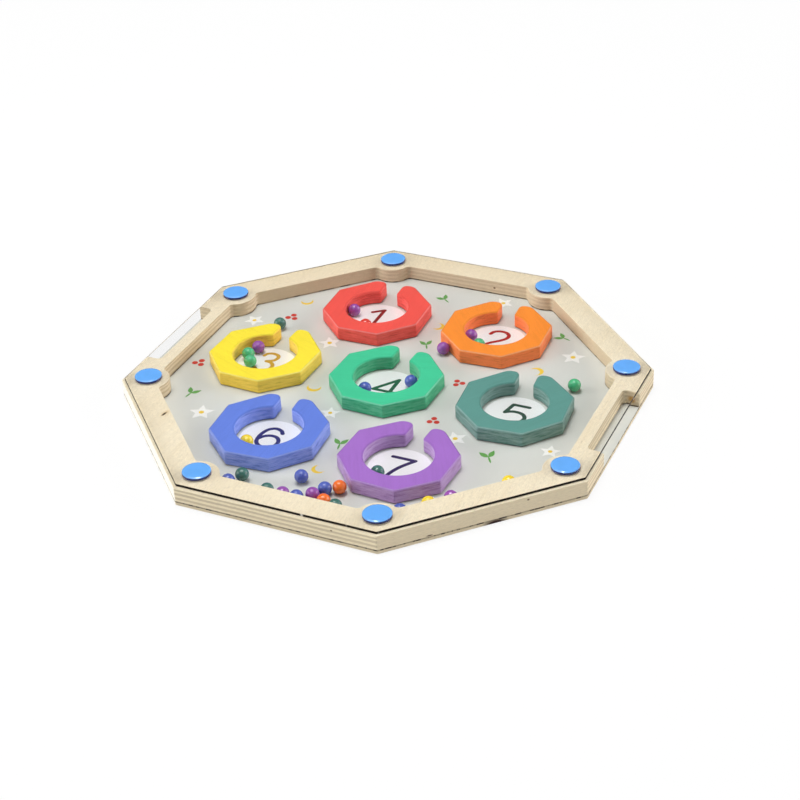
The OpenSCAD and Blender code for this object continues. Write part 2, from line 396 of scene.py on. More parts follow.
def stroke_field(paths, width):
    """Distance from the edge of a pen stroke along the paths, negative inside it."""
    def field(x, y):
        """Distances at a grid of points."""
        best = np.full(x.shape, np.inf)
        for path in paths:
            for a, b in zip(path, path[1:]):
                d = b - a
                t = np.clip(((x - a.x) * d.x + (y - a.y) * d.y) / d.length_squared, 0, 1)
                best = np.minimum(best, np.hypot(x - a.x - t * d.x, y - a.y - t * d.y))
        return best - width / 2
    return field


# Shader nodes

def rgb(r, g, b):
    """Linear colour of a screen colour, by the curve of sRGB."""
    lin = [(c / 255 / 12.92) if c <= 10 else ((c / 255 + 0.055) / 1.055) ** 2.4 for c in (r, g, b)]
    return (*lin, 1)


WHITE = (1, 1, 1, 1)
BLACK = (0, 0, 0, 1)


def add(tree, kind, inputs=None, **props):
    """Adds a shader node. Its inputs, by name or number, are sockets or values."""
    node = tree.nodes.new("ShaderNode" + kind)
    for k, v in props.items():
        setattr(node, k, v)
    for k, v in (inputs or {}).items():
        if isinstance(v, bpy.types.NodeSocket):
            tree.links.new(v, node.inputs[k])
        else:
            node.inputs[k].default_value = v
    return node


def new_tree(name):
    """A new material and its empty node tree."""
    mat = bpy.data.materials.new(name)
    mat.use_nodes = True
    mat.node_tree.nodes.clear()
    return mat, mat.node_tree


def math_node(tree, op, a, b=0.0, c=0.0):
    """Result of a Math node."""
    return add(tree, "Math", {0: a, 1: b, 2: c}, operation=op).outputs[0]


def times(tree, a, b):
    """Product of two values."""
    return math_node(tree, "MULTIPLY", a, b)


def times_plus(tree, a, b, c):
    """Product of a and b, plus c."""
    return math_node(tree, "MULTIPLY_ADD", a, b, c)


def minus(tree, a, b):
    """Difference of two values."""
    return math_node(tree, "SUBTRACT", a, b)


def size_of(tree, a):
    """A value without its sign."""
    return math_node(tree, "ABSOLUTE", a)


def unit(tree, a):
    """A value from -1 to 1, as one from 0 to 1."""
    return times_plus(tree, a, 0.5, 0.5)


def offset(tree, a, b):
    """Vector from b to a."""
    return add(tree, "VectorMath", {0: a, 1: b}, operation="SUBTRACT").outputs[0]


def dot(tree, a, b):
    """Dot product of two vectors."""
    return add(tree, "VectorMath", {0: a, 1: b}, operation="DOT_PRODUCT").outputs["Value"]


def split(tree, vec):
    """X, Y and Z of a vector."""
    return add(tree, "SeparateXYZ", {0: vec}).outputs


def object_coords(tree):
    """Place on the piece, in metres."""
    return add(tree, "TexCoord").outputs["Object"]


def normal(tree):
    """Direction that the surface faces."""
    return add(tree, "NewGeometry").outputs["Normal"]


def height_over(tree, pos, level):
    """Height over a level, in mm."""
    return times_plus(tree, split(tree, pos)[2], 1 / MM, -level)


def mix(tree, fac, a, b):
    """Colour a where fac is 0 and b where it is 1."""
    return add(tree, "Mix", {0: fac, 6: a, 7: b}, data_type="RGBA").outputs[2]


def multiply(tree, a, b):
    """Product of two colours."""
    return add(tree, "Mix", {0: 1.0, 6: a, 7: b}, data_type="RGBA", blend_type="MULTIPLY").outputs[2]


def ramp(tree, fac, stops):
    """Colour ramp through stops (position, colour or grey)."""
    node = add(tree, "ValToRGB", {0: fac})
    el = node.color_ramp.elements
    while len(el) < len(stops):
        el.new(1)
    for e, (at, c) in zip(el, stops):
        e.position = at
        e.color = c if isinstance(c, tuple) else (c, c, c, 1)
    return node.outputs["Color"]


def stretched(tree, vec, deg, size):
    """Coordinates turned by an angle about Z and counted in lengths of size, in mm."""
    inputs = {"Vector": vec, "Rotation": (0, 0, math.radians(deg)), "Scale": tuple(s * MM for s in size)}
    return add(tree, "Mapping", inputs, vector_type="TEXTURE").outputs[0]


def noise(tree, pos, deg, size, detail, rough=0.5):
    """Noise with spots of a given size, in mm, turned about Z."""
    vec = stretched(tree, pos, deg, size)
    inputs = {"Vector": vec, "Scale": 1.0, "Detail": detail, "Roughness": rough}
    return add(tree, "TexNoise", inputs).outputs[0]


def bump(tree, height, strength, distance):
    """Relief of a given depth, in mm."""
    inputs = {"Height": height, "Strength": strength, "Distance": distance * MM}
    return add(tree, "Bump", inputs).outputs[0]


def principled(tree, inputs):
    """Ends a material with a principled shader."""
    shader = add(tree, "BsdfPrincipled", inputs)
    add(tree, "OutputMaterial", {"Surface": shader.outputs[0]})


# Materials

def spots(tree, pos, colour, marks):
    """Adds small marks to a colour: place, lengths and turn about Z, colour of the mark."""
    for place, size, turn, tint in marks:
        off = stretched(tree, offset(tree, pos, tuple(c * MM for c in place)), turn, size)
        far = add(tree, "VectorMath", {0: off}, operation="LENGTH").outputs["Value"]
        colour = mix(tree, ramp(tree, far, [(0.4, 1.0), (1.0, 0.0)]), colour, tint)
    return colour


# Length along Y, in mm, that the ramp of the face's colour spans
FADE_L = 200


def ply_face(tree, pos):
    """Colour and pores of a sanded veneer face, a little darker towards the back."""
    streak = noise(tree, pos, UP, (38, 2.2, 6), 5, 0.65)
    tone = noise(tree, pos, UP, (60, 22, 20), 2)
    pores = noise(tree, pos, UP, (4, 0.4, 2), 2, 0.7)
    speck = noise(tree, pos, UP, (1.8, 0.9, 1.2), 3, 0.75)
    dark, fair, light = rgb(230, 212, 177), rgb(240, 226, 197), rgb(246, 234, 207)
    colour = ramp(tree, streak, [(0.28, dark), (0.46, fair), (0.7, light)])
    colour = mix(tree, 0.45, colour, ramp(tree, tone, [(0.35, rgb(238, 223, 192)), (0.65, light)]))
    back = ramp(tree, times(tree, split(tree, pos)[1], 1 / (FADE_L * MM)), [(0.3, 0.0), (0.6, 0.55)])
    colour = mix(tree, back, colour, rgb(237, 218, 184))
    open_pores = ramp(tree, pores, [(0.26, 0.84), (0.42, 1.0)])
    fleck = multiply(tree, open_pores, ramp(tree, speck, [(0.3, 0.87), (0.7, 1.06)]))
    return multiply(tree, colour, fleck), pores


# Number of the side whose outer face is painted paler, a painted highlight for the light that falls on it
PAINTED_LIT_SIDE = 4


def ply_edge(t, pos, geo, height, layers, sway, inside):
    """Colour of plywood edges. Layers (height, paleness) show square to the grain, reversed along it."""
    outside = minus(t, 1.0, inside)
    # The layers wander a little along the wall
    wave = noise(t, pos, UP, (11, 11, 3), 3)
    level = times_plus(t, minus(t, wave, 0.5), 0.9, height)
    thick = layers[-1][0]
    pattern = ramp(t, math_node(t, "DIVIDE", level, thick), [(at / thick, v) for at, v in layers])
    # They show less on inner walls, and on outer walls halfway to the grain the colour is even and pale
    back = times(t, inside, math_node(t, "MAXIMUM", sway, 0.0))
    show = times(t, times_plus(t, sway, 0.95, 0.05), times_plus(t, back, -0.55, 1.0))
    even = times(t, minus(t, 1.0, size_of(t, sway)), outside)
    depth = times_plus(t, minus(t, pattern, 0.5), show, times_plus(t, even, 0.4, 0.5))
    edge = mix(t, depth, rgb(203, 186, 154), rgb(250, 237, 206))
    # Inner walls are a little redder, and walls along or halfway to the grain a little browner
    edge = mix(t, times(t, inside, 0.14), edge, rgb(214, 178, 146))
    edge = mix(t, ramp(t, sway, [(0.0, 0.14), (0.3, 0.0)]), edge, rgb(206, 166, 118))
    # The outer face of that side is painted near white, a painted highlight
    pale = ramp(t, dot(t, geo, (*side_axes(PAINTED_LIT_SIDE)[0], 0)), [(0.88, 0.0), (0.97, 0.75)])
    edge = mix(t, times(t, pale, outside), edge, rgb(255, 253, 247))
    fibre = noise(t, pos, UP, (3, 3, 0.22), 3, 0.7)
    return multiply(t, edge, ramp(t, fibre, [(0.3, 0.84), (0.65, 1.04)]))


def ply_seam(t, pos, colour, near, sway):
    """Darkens the colour along a glued seam as painted shade, and black as painted shadow where the glue has
    gaps.
    """
    strong = times_plus(t, size_of(t, sway), 0.4, 0.5)
    # A band of painted shade along the seam
    line = times(t, ramp(t, near, [(0.3, 1.0), (0.55, 0.0)]), strong)
    colour = mix(t, line, colour, rgb(112, 95, 72))
    # Black patches of painted shadow where the seam gaps
    gaps = noise(t, pos, UP, (4, 4, 40), 2, 0.6)
    painted_gap_shadow = times(t, ramp(t, gaps, [(0.5, 0.0), (0.57, 0.9)]), ramp(t, near, [(0.3, 1.0), (0.45, 0.0)]))
    return mix(t, painted_gap_shadow, colour, rgb(30, 24, 20))


def ply(name, low, layers, seam, marks):
    """Plywood from a level upwards, with a veneer face, layered edges and painted shade along a seam at one
    height.
    """
    mat, t = new_tree(name)
    pos, geo = object_coords(t), normal(t)
    height = height_over(t, pos, low)
    # 1 on walls square to the face grain, -1 on walls along it and 0 halfway
    a, b = dot(t, geo, (*polar(1, UP), 0)), dot(t, geo, (*polar(1, UP + 90), 0))
    sway = minus(t, times(t, a, a), times(t, b, b))
    inside = math_node(t, "LESS_THAN", dot(t, geo, pos), 0.0)
    face, pores = ply_face(t, pos)
    edge = ply_edge(t, pos, geo, height, layers, sway, inside)
    top = ramp(t, size_of(t, split(t, geo)[2]), [(0.45, 0.0), (0.8, 1.0)])
    colour = spots(t, pos, mix(t, top, edge, face), marks)
    # Nearness to the seam counts half on inner walls, so there the painted shade reaches up as the shadow at
    # the wall's foot
    near = times(t, size_of(t, minus(t, height, seam)), times_plus(t, inside, -0.5, 1.0))
    principled(t, {"Base Color": ply_seam(t, pos, colour, near, sway), "Roughness": 0.55,
                   "Specular IOR Level": 0.25, "Normal": bump(t, pores, 0.25, 0.05)})
    return mat


def ink(name, colour):
    """Printed colour on a fine grained sheet."""
    mat, t = new_tree(name)
    pos = object_coords(t)
    grain = noise(t, pos, 0, (0.5, 0.5, 0.5), 4, 0.65)
    cloud = noise(t, pos, 20, (30, 22, 10), 2)
    tone = multiply(t, ramp(t, grain, [(0.3, 0.955), (0.7, 1.0)]), ramp(t, cloud, [(0.3, 0.97), (0.7, 1.0)]))
    principled(t, {"Base Color": multiply(t, colour, tone), "Roughness": 0.55, "Specular IOR Level": 0.25,
                   "Normal": bump(t, grain, 0.1, 0.02)})
    return mat


# Seen from this height on a ring's axis, in mm over the floor, the ring's outer edges face away
OVER_RING = 20


def paint(name, colour, sides, pale, turn, centre, marks):
    """Satin paint on sanded wood: grain on the sawn sides, a painted highlight on the front edges, darker
    edges with painted shade most at the back, and a painted shadow at the foot.
    """
    mat, t = new_tree(name)
    pos, geo = object_coords(t), normal(t)
    streak = noise(t, pos, turn, (22, 1.2, 3), 4, 0.6)
    cloud = noise(t, pos, turn, (25, 12, 8), 2)
    dust = noise(t, pos, 0, (0.6, 0.6, 0.6), 3, 0.6)
    sawn = noise(t, pos, turn, (9, 9, 1.1), 5, 0.7)
    flat = split(t, geo)
    side = ramp(t, flat[2], [(0.15, 1.0), (0.6, 0.0)])
    # Fine streaks on top, saw marks and pale patches on the sides
    tone = multiply(t, ramp(t, streak, [(0.3, 0.93), (0.6, 1.0)]), ramp(t, cloud, [(0.3, 0.96), (0.7, 1.02)]))
    tone = mix(t, side, tone, ramp(t, sawn, [(0.32, 0.7), (0.46, 1.0), (0.7, 1.16)]))
    body = multiply(t, mix(t, side, colour, sides), tone)
    chalk = times(t, side, ramp(t, sawn, [(0.36, 0.0), (0.62, pale)]))
    body = mix(t, chalk, body, WHITE)
    # Outer edges at the front are painted paler, a painted highlight
    off = offset(t, pos, (centre.x * MM, centre.y * MM, OVER_RING * MM))
    outward = math_node(t, "GREATER_THAN", dot(t, geo, off), 0.0)
    front = times(t, outward, ramp(t, unit(t, flat[1]), [(0.4, 1.0), (0.52, 0.0)]))
    brow = ramp(t, flat[2], [(0.35, 0.0), (0.6, 1.0), (0.94, 1.0), (0.995, 0.0)])
    painted_highlight = times(t, times(t, brow, front), ramp(t, dust, [(0.3, 0.06), (0.7, 0.2)]))
    body = mix(t, painted_highlight, body, WHITE)
    # Every edge is darkened a little and the outer edges at the back most, as painted shade, and the foot is
    # darkened as a painted contact shadow
    rear = times_plus(t, minus(t, outward, front), 0.28, 0.1)
    painted_edge_shade = times(t, ramp(t, flat[2], [(0.3, 0.0), (0.6, 1.0), (0.97, 1.0), (1.0, 0.0)]), rear)
    body = mix(t, painted_edge_shade, body, BLACK)
    painted_foot_shadow = ramp(t, height_over(t, pos, BASE_T), [(0.1, 0.25), (0.75, 1.0)])
    body = spots(t, pos, multiply(t, body, painted_foot_shadow), marks)
    principled(t, {"Base Color": body, "Roughness": ramp(t, dust, [(0.3, 0.36), (0.7, 0.46)]),
                   "Specular IOR Level": 0.15, "Normal": bump(t, mix(t, side, streak, sawn), 0.18, 0.06)})
    return mat


def coat(name, colour):
    """Coloured gloss coat on a steel ball, darker below by painted shade."""
    mat, t = new_tree(name)
    fleck = noise(t, object_coords(t), 0, (0.7, 0.7, 0.7), 3, 0.6)
    lift = split(t, normal(t))[2]
    # Painted shade on the lower side of the ball
    painted_shade = ramp(t, unit(t, lift), [(0.1, 0.72), (0.5, 1.0)])
    tone = multiply(t, painted_shade, ramp(t, fleck, [(0.3, 0.86), (0.65, 1.05)]))
    rough = ramp(t, fleck, [(0.3, 0.18), (0.7, 0.28)])
    principled(t, {"Base Color": multiply(t, colour, tone), "Roughness": rough, "Specular IOR Level": 0.7,
                   "Normal": bump(t, fleck, 0.06, 0.03)})
    return mat


# Height over the cover, in mm, that a cap's ramp of colour spans, which paints shade on the rim
CAP_SPAN = 2


def plastic(name, colour, painted_shade):
    """Moulded plastic with a fine grain, dark on the upright rim by painted shade."""
    mat, t = new_tree(name)
    pos = object_coords(t)
    fine = noise(t, pos, 0, (0.35, 0.35, 0.35), 3, 0.6)
    cloud = noise(t, pos, 0, (6, 6, 3), 2)
    rise = times(t, height_over(t, pos, COVER_TOP), 1 / CAP_SPAN)
    # Below the top, the rim takes the colour of painted shade
    body = mix(t, ramp(t, rise, [(0.62, 1.0), (0.7, 0.0)]), colour, painted_shade)
    tone = ramp(t, cloud, [(0.3, 0.95), (0.7, 1.02)])
    rough = ramp(t, fine, [(0.3, 0.1), (0.7, 0.16)])
    principled(t, {"Base Color": multiply(t, body, tone), "Roughness": rough,
                   "Normal": bump(t, fine, 0.04, 0.02)})
    return mat


def zinc(name):
    """Zinc plated steel with turning marks."""
    mat, t = new_tree(name)
    swirl = noise(t, object_coords(t), 0, (0.8, 0.8, 0.12), 4, 0.6)
    colour = ramp(t, swirl, [(0.3, rgb(168, 170, 174)), (0.7, rgb(206, 207, 208))])
    rough = ramp(t, swirl, [(0.3, 0.25), (0.7, 0.42)])
    principled(t, {"Base Color": colour, "Metallic": 1.0, "Roughness": rough,
                   "Normal": bump(t, swirl, 0.15, 0.03)})
    return mat


def clear(name):
    """Clear acrylic, which lets light and bounced light straight through."""
    mat, t = new_tree(name)
    film = noise(t, object_coords(t), 35, (60, 18, 20), 3)
    inputs = {"Base Color": WHITE, "Roughness": 0.0, "IOR": 1.49, "Transmission Weight": 1.0,
              "Specular IOR Level": 0.02, "Specular Tint": BLACK, "Normal": bump(t, film, 0.02, 0.02)}
    glass = add(t, "BsdfPrincipled", inputs).outputs[0]
    through = add(t, "BsdfTransparent").outputs[0]
    path = add(t, "LightPath").outputs
    glass = add(t, "MixShader", {0: path["Is Shadow Ray"], 1: glass, 2: through}).outputs[0]
    glass = add(t, "MixShader", {0: path["Is Diffuse Ray"], 1: glass, 2: through}).outputs[0]
    add(t, "OutputMaterial", {"Surface": glass})
    return mat


def clear_edge(name):
    """Sawn edge of the acrylic: painted black from outside for the dark that it reflects, with a few painted
    glints, and painted pale from inside for the light seen through the sheet.
    """
    mat, t = new_tree(name)
    pos = object_coords(t)
    saw = noise(t, pos, 0, (0.5, 0.5, 6), 3, 0.6)
    painted_glint = noise(t, pos, 0, (7, 7, 40), 2, 0.6)
    # Painted dark reflection with painted glints, and painted light where the edge is seen from inside the
    # sheet
    dark = ramp(t, saw, [(0.3, rgb(14, 10, 9)), (0.7, rgb(34, 27, 23))])
    dark = mix(t, ramp(t, painted_glint, [(0.68, 0.0), (0.74, 0.9)]), dark, rgb(236, 232, 224))
    colour = mix(t, add(t, "NewGeometry").outputs["Backfacing"], dark, rgb(196, 190, 178))
    principled(t, {"Base Color": colour, "Roughness": ramp(t, saw, [(0.3, 0.4), (0.7, 0.6)]),
                   "Specular IOR Level": 0.1, "Normal": bump(t, saw, 0.2, 0.03)})
    return mat


# The board

# Share of the base's height above which a level face carries print
PRINT_FROM = 0.9

# Layers of the plywood: height over its underside in mm, and how pale it is there
FRAME_LAYERS = [(0, 0.75), (1.6, 0.9), (1.9, 0.2), (3.0, 0.2), (3.3, 0.9), (4.4, 0.9), (4.7, 0.2),
                (5.7, 0.2), (6.0, 0.9), (6.9, 0.9), (7.2, 0.2), (8.0, 0.2), (8.3, 1.0), (9, 1.0)]
BASE_LAYERS = [(0, 0.6), (0.6, 0.6), (0.8, 0.35), (1.4, 0.35), (1.6, 0.7), (2.2, 0.7)]

# Marks in the wood, and one painted shadow: place, lengths and turn about Z, colour
KNOT = rgb(112, 78, 50)
BARK = rgb(86, 52, 38)
FRAME_MARKS = [
    ((-121.5, -37, FRAME_TOP), (5, 2, 3), 58, rgb(228, 205, 164)),
    ((-122, -38, FRAME_TOP), (2.9, 0.95, 3), 58, rgb(46, 28, 18)),
    (on_side(6, 24.5, 9.4, OUTER), (0.9, 0.9, 0.7), 0, KNOT),
    (on_side(6, -30, 3.2, OUTER), (2.2, 2.2, 0.5), 0, BARK),
    (on_side(5, 33, 8, OUTER), (0.8, 0.8, 0.6), 0, KNOT),
    (on_side(1, -18, 6.5, INNER), (1, 1, 0.8), 0, KNOT),
    (on_side(7, 30.5, 6, POCKET_FLOOR + 5), (3, 3, 2.4), 0, rgb(206, 160, 92)),
    # A painted shadow under the end of the pen pocket
    (on_side(7, 31.2, 2.5, POCKET_FLOOR + 6), (4.4, 4.4, 0.55), 0, rgb(18, 12, 9)),
]
BASE_MARKS = [(on_side(6, 6, 0.4, OUTER), (8, 1.6, 2.6), HALF, rgb(46, 10, 5))]


def make_frame():
    """The frame, plywood with bosses in its corners and two pen pockets."""
    bm = bmesh.new()
    loops = [frame_outer(), frame_inner()] + fastener_holes(SHANK_HOLE_R)
    add_slab(bm, loops, [edge_rows(BASE_T, FRAME_TOP, FRAME_EDGE, BOARD_EDGE_PARTS)] * len(loops))
    wood = ply("frame_ply", BASE_T, FRAME_LAYERS, 0, FRAME_MARKS)
    piece(bm, "frame_plywood", [wood], "frame")


def make_base():
    """The base board, plywood with countersunk holes and a printed upper face."""
    bm = bmesh.new()
    sink = SCREW_HEAD_R + HOLE_GAP - SCREW_HOLE_R
    hole = [(sink, 0), (sink, SCREW_LOW), (0, SCREW_LOW + sink), (0, BASE_T)]
    loops = [octagon(OUTER, BASE_CORNER_R)] + fastener_holes(SCREW_HOLE_R)
    add_slab(bm, loops, [edge_rows(0, BASE_T, BASE_EDGE, BOARD_EDGE_PARTS)] + [hole] * SIDES)
    for f in bm.faces:
        f.normal_update()
        printed = f.normal.z > LEVEL_FACE and f.calc_center_median().z > PRINT_FROM * BASE_T * MM
        f.material_index = int(printed)
    wood = ply("base_ply", 0, BASE_LAYERS, BASE_T, BASE_MARKS)
    ground = ink("print_ground", rgb(220, 222, 216))
    piece(bm, "base_plywood", [wood, ground], "base_board")


# Gap under the cover, in mm, which keeps its underside off the frame
COVER_LIFT = 0.03


def make_cover():
    """The clear cover, whose outer edge has a material of its own."""
    bm = bmesh.new()
    loops = [octagon(OUTER - COVER_INSET, COVER_CORNER_R)] + fastener_holes(SHANK_HOLE_R)
    rows = edge_rows(FRAME_TOP + COVER_LIFT, COVER_TOP, COVER_EDGE, COVER_EDGE_PARTS)
    add_slab(bm, loops, [rows] * len(loops))
    for f in bm.faces:
        f.normal_update()
        near = min((f.calc_center_median().xy / MM - c).length for c in fasteners())
        f.material_index = int(abs(f.normal.z) < EDGE_FACE and near > 2 * SHANK_HOLE_R)
    piece(bm, "cover_acrylic", [clear("acrylic"), clear_edge("acrylic_edge")], "cover_sheet")


# The head of a cap: gap under it, bevel at its foot, and the two rounds that its sloping rim joins.
# Heights are over the cover, and the inner round lies RIM_IN from the outside of the cap.
CAP_LIFT = 0.02
CAP_BEVEL_W = 0.1
CAP_BEVEL_H = 0.12
RIM_R = 0.3
RIM_SLOPE = 65
RIM_LOW = 1.12
RIM_HIGH = 1.53
RIM_IN = 1.2
DOME_START = 86
DOME_PARTS = 8


def cap_profile():
    """Profile of a cap: down the screw's hole, up the shank, round the rim and over the low dome."""
    shank_low = BASE_T + HOLE_GAP
    pilot_top = SCREW_TOP + PILOT_SPARE
    low = COVER_TOP + CAP_LIFT
    out = [(0, pilot_top), (PILOT_R, pilot_top), (PILOT_R, shank_low), (SHANK_R, shank_low), (SHANK_R, low)]
    out += [(CAP_R - CAP_BEVEL_W, low), (CAP_R, low + CAP_BEVEL_H)]
    outer = (CAP_R - RIM_R, COVER_TOP + RIM_LOW)
    out += [tuple(p) for p in arc(outer, RIM_R, 0, RIM_SLOPE, RIM_PARTS)]
    inner = (CAP_R - RIM_IN, COVER_TOP + RIM_HIGH)
    out += [tuple(p) for p in arc(inner, RIM_R, RIM_SLOPE, DOME_START, RIM_PARTS)]
    r, z = out[-1]
    for w in [1 - i / DOME_PARTS for i in range(1, DOME_PARTS)]:
        out.append((r * w, z + (CAP_TOP - z) * (1 - w * w)))
    return out + [(0, CAP_TOP)]


def make_caps():
    """The caps, each turned from one profile."""
    bm = bmesh.new()
    for c in fasteners():
        add_lathe(bm, cap_profile(), c, CAP_PARTS)
    # The second colour is painted shade for the upright rim
    blue = plastic("cap_plastic", rgb(106, 174, 248), rgb(8, 26, 104))
    piece(bm, "caps_moulded", [blue], "corner_caps")


# A screw: its cross recess, its head's bevel, its point, the turn from one screw to the next, and how
# far head and shank overlap
RECESS_D = 0.9
RECESS_REACH = 1.5
RECESS_HALF = 0.32
HEAD_BEVEL = 0.1
POINT_L = 1
POINT_R = 0.3
SCREW_STEP = 37
OVERLAP = 0.02


def cross(centre, turn):
    """Outline of a cross recess, as a hole."""
    reach, half = RECESS_REACH, RECESS_HALF
    arm = [Vector(p) for p in ((reach, -half), (reach, half), (half, half))]
    loop = [Matrix.Rotation(math.radians(turn + 90 * k), 2) @ p + centre for k in range(4) for p in arm]
    return loop[::-1]


def make_screws():
    """The screws, each of a head with a cross recess and a pointed shank."""
    bm = bmesh.new()
    floor_at = SCREW_LOW + RECESS_D
    head = [(HEAD_BEVEL, SCREW_LOW), (0, SCREW_LOW + HEAD_BEVEL), (RECESS_D - HEAD_BEVEL, floor_at)]
    wide = SCREW_HEAD_R - RECESS_D + HEAD_BEVEL + OVERLAP
    shank = [(0, floor_at - OVERLAP), (wide, floor_at - OVERLAP), (SCREW_R, floor_at + wide - SCREW_R),
             (SCREW_R, SCREW_TOP - POINT_L), (POINT_R, SCREW_TOP), (0, SCREW_TOP)]
    for k, c in enumerate(fasteners()):
        loops = [circle(c, SCREW_HEAD_R, SCREW_PARTS), cross(c, SCREW_STEP * k)]
        add_slab(bm, loops, [head, [(0, SCREW_LOW), (0, floor_at)]])
        add_lathe(bm, shank, c, SCREW_PARTS)
    piece(bm, "screws_zinc", [zinc("zinc")], "corner_screws")


# Colour of the paint on top and on the sides, and how far it looks pale on the sawn sides
RING_PAINT = {
    "red": (rgb(244, 87, 77), rgb(245, 86, 76), 0.04),
    "orange": (rgb(254, 146, 50), rgb(254, 134, 70), 0.02),
    "yellow": (rgb(255, 232, 62), rgb(253, 216, 80), 0.03),
    "green": (rgb(68, 202, 152), rgb(50, 180, 127), 0.1),
    "teal": (rgb(95, 151, 142), rgb(91, 138, 129), 0.16),
    "blue": (rgb(102, 131, 223), rgb(116, 143, 238), 0.2),
    "purple": (rgb(165, 113, 201), rgb(171, 127, 195), 0.2),
}
# Chips in the paint: place, lengths and turn about Z, colour
CHIPS = {"red": [((16.5, 97.6, 10.4), (1.7, 0.9, 1.2), 114.5, rgb(70, 22, 34))]}
# Turn of the wood's grain from one ring to the next
GRAIN_STEP = 35


def make_rings():
    """The rings, each in its own paint."""
    for n, (at, ring) in enumerate(zip(ring_places(), RINGS)):
        turn, colour = ring[-2:]
        bm = bmesh.new()
        spin = Matrix.Rotation(math.radians(UP + turn), 2)
        outline = [spin @ p + at for p in ring_outline()]
        add_slab(bm, [outline], [edge_rows(BASE_T, RING_TOP, RING_EDGE, RING_EDGE_PARTS)])
        grain = UP + turn + GRAIN_STEP * n
        shade = paint("paint_" + colour, *RING_PAINT[colour], grain, at, CHIPS.get(colour, []))
        piece(bm, "ring_%d_painted" % (n + 1), [shade], "ring_%d" % (n + 1))


# Colour of the balls' coats
BALL_COAT = {
    "purple": rgb(154, 82, 174),
    "green": rgb(78, 192, 134),
    "pine": rgb(64, 114, 104),
    "blue": rgb(82, 100, 188),
    "orange": rgb(254, 120, 40),
    "yellow": rgb(254, 222, 56),
    "red": rgb(226, 66, 54),
}


def dress_balls():
    """Gives the CAD balls their coats."""
    coats = {colour: coat("ball_coat_" + colour, tint) for colour, tint in BALL_COAT.items()}
    for node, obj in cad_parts.items():
        if node.startswith("ball_"):
            colour = node.split("_")[1]
            obj.data.materials.clear()
            obj.data.materials.append(coats[colour])


# The print

# Thickness of a printed film, how far it is sunk, and the step between films that lie on each other
FILM = 0.03
FILM_SUNK = 0.01
FILM_STEP = 0.01
# Radius of the white disc in each ring
DISC_R = 17.4


def film_rows(low):
    """Rows of a printed film."""
    return [(0, low - FILM_SUNK), (0, low + FILM)]


def make_discs():
    """The white disc under each numeral."""
    bm = bmesh.new()
    for at in ring_places():
        add_slab(bm, [circle(at, DISC_R, DISC_PARTS)], [film_rows(BASE_T)])
    piece(bm, "print_discs", [ink("print_white", rgb(253, 253, 252))])


# Width of a numeral's stroke
STROKE = 2.35
# Corners and step of the grid on which a numeral is traced
GRID_LOW = (-11, -13)
GRID_HIGH = (11, 14)
GRID_STEP = 0.2
# Each numeral, from 1 to 7: colour, straight strokes, curved strokes
NUMERALS = [
    (rgb(142, 20, 20), [[(-6.3, 6.6), (-0.2, 11.2)], [(-0.2, 11.2), (0, -8.6)]], []),
    (rgb(176, 32, 26), [[(-6.2, -7.6), (5.8, -7.6)]],
     [[(-6.2, 6.3), (-5, 9.2), (-1.5, 10.9), (2.5, 10.4), (5, 7.6), (4.6, 4), (1.5, 0.2), (-2.5, -3.4),
       (-6.2, -7.6)]]),
    (rgb(214, 168, 58), [],
     [[(-5.3, 7.9), (-4.2, 10.4), (-1, 11.6), (2.4, 10.7), (3.7, 8), (2.4, 4.6), (-1.2, 2.6)],
      [(-1.2, 2.6), (2.2, 1.9), (4.6, -0.8), (4.4, -4.6), (1.4, -7.4), (-2.8, -7.4), (-6, -5)]]),
    (rgb(24, 94, 64),
     [[(3.6, 9.4), (-6.8, -4.3)], [(-6.8, -4.3), (6.6, -4.3)], [(3.6, 9.4), (3.6, -9.2)]], []),
    (rgb(44, 74, 60), [[(5.4, 8.9), (-4, 8.9)], [(-4, 8.9), (-6, 0)]],
     [[(-6, 0), (-3.2, 1.7), (0.6, 2.2), (4.4, 1), (6.4, -2.2), (5.4, -6), (1.8, -8.6), (-2.4, -9),
       (-5.4, -8.4)]]),
    (rgb(44, 44, 112), [],
     [[(4.4, 6.3), (2.4, 8.7), (-1.4, 9.6), (-4.8, 7.4), (-6.6, 2.6), (-6.6, -2.6), (-5.2, -6.4),
       (-1.6, -8.8), (2.8, -8.2), (5.6, -5.2), (5.6, -1.2), (3.2, 1.8), (-0.6, 2.4), (-4.2, 0.6),
       (-6.4, -2.8)]]),
    (rgb(50, 34, 88), [[(-7.4, 8.6), (5.6, 8.6)]],
     [[(5.6, 8.6), (2.2, 4), (-0.6, -0.6), (-2.4, -5), (-3.6, -9.2)]]),
]


def make_numerals():
    """The numbers 1 to 7, one in each ring."""
    bm = bmesh.new()
    inks = []
    upright = Matrix.Rotation(math.radians(UP - 90), 2)
    for n, ((colour, lines, curves), at) in enumerate(zip(NUMERALS, ring_places())):
        paths = [[Vector(p) for p in line] for line in lines] + [spline(c) for c in curves]
        loops = contours(stroke_field(paths, STROKE), GRID_LOW, GRID_HIGH, GRID_STEP)
        loops = [[upright @ p + at for p in loop] for loop in loops]
        add_slab(bm, loops, [film_rows(BASE_T + FILM)] * len(loops), n)
        inks.append(ink("print_numeral_%d" % (n + 1), colour))
    piece(bm, "print_numerals", inks)


# Inks of the motifs. A motif is a list of outlines round the origin, each with its ink, and their
# sizes are shares of the motif's size.
CHALK, GOLD, LEAF, BERRY = range(4)
# Straight parts along a petal, and a power below 1, which moves its widest place towards its foot
PETAL_PARTS = 10
PETAL_LEAN = 0.8


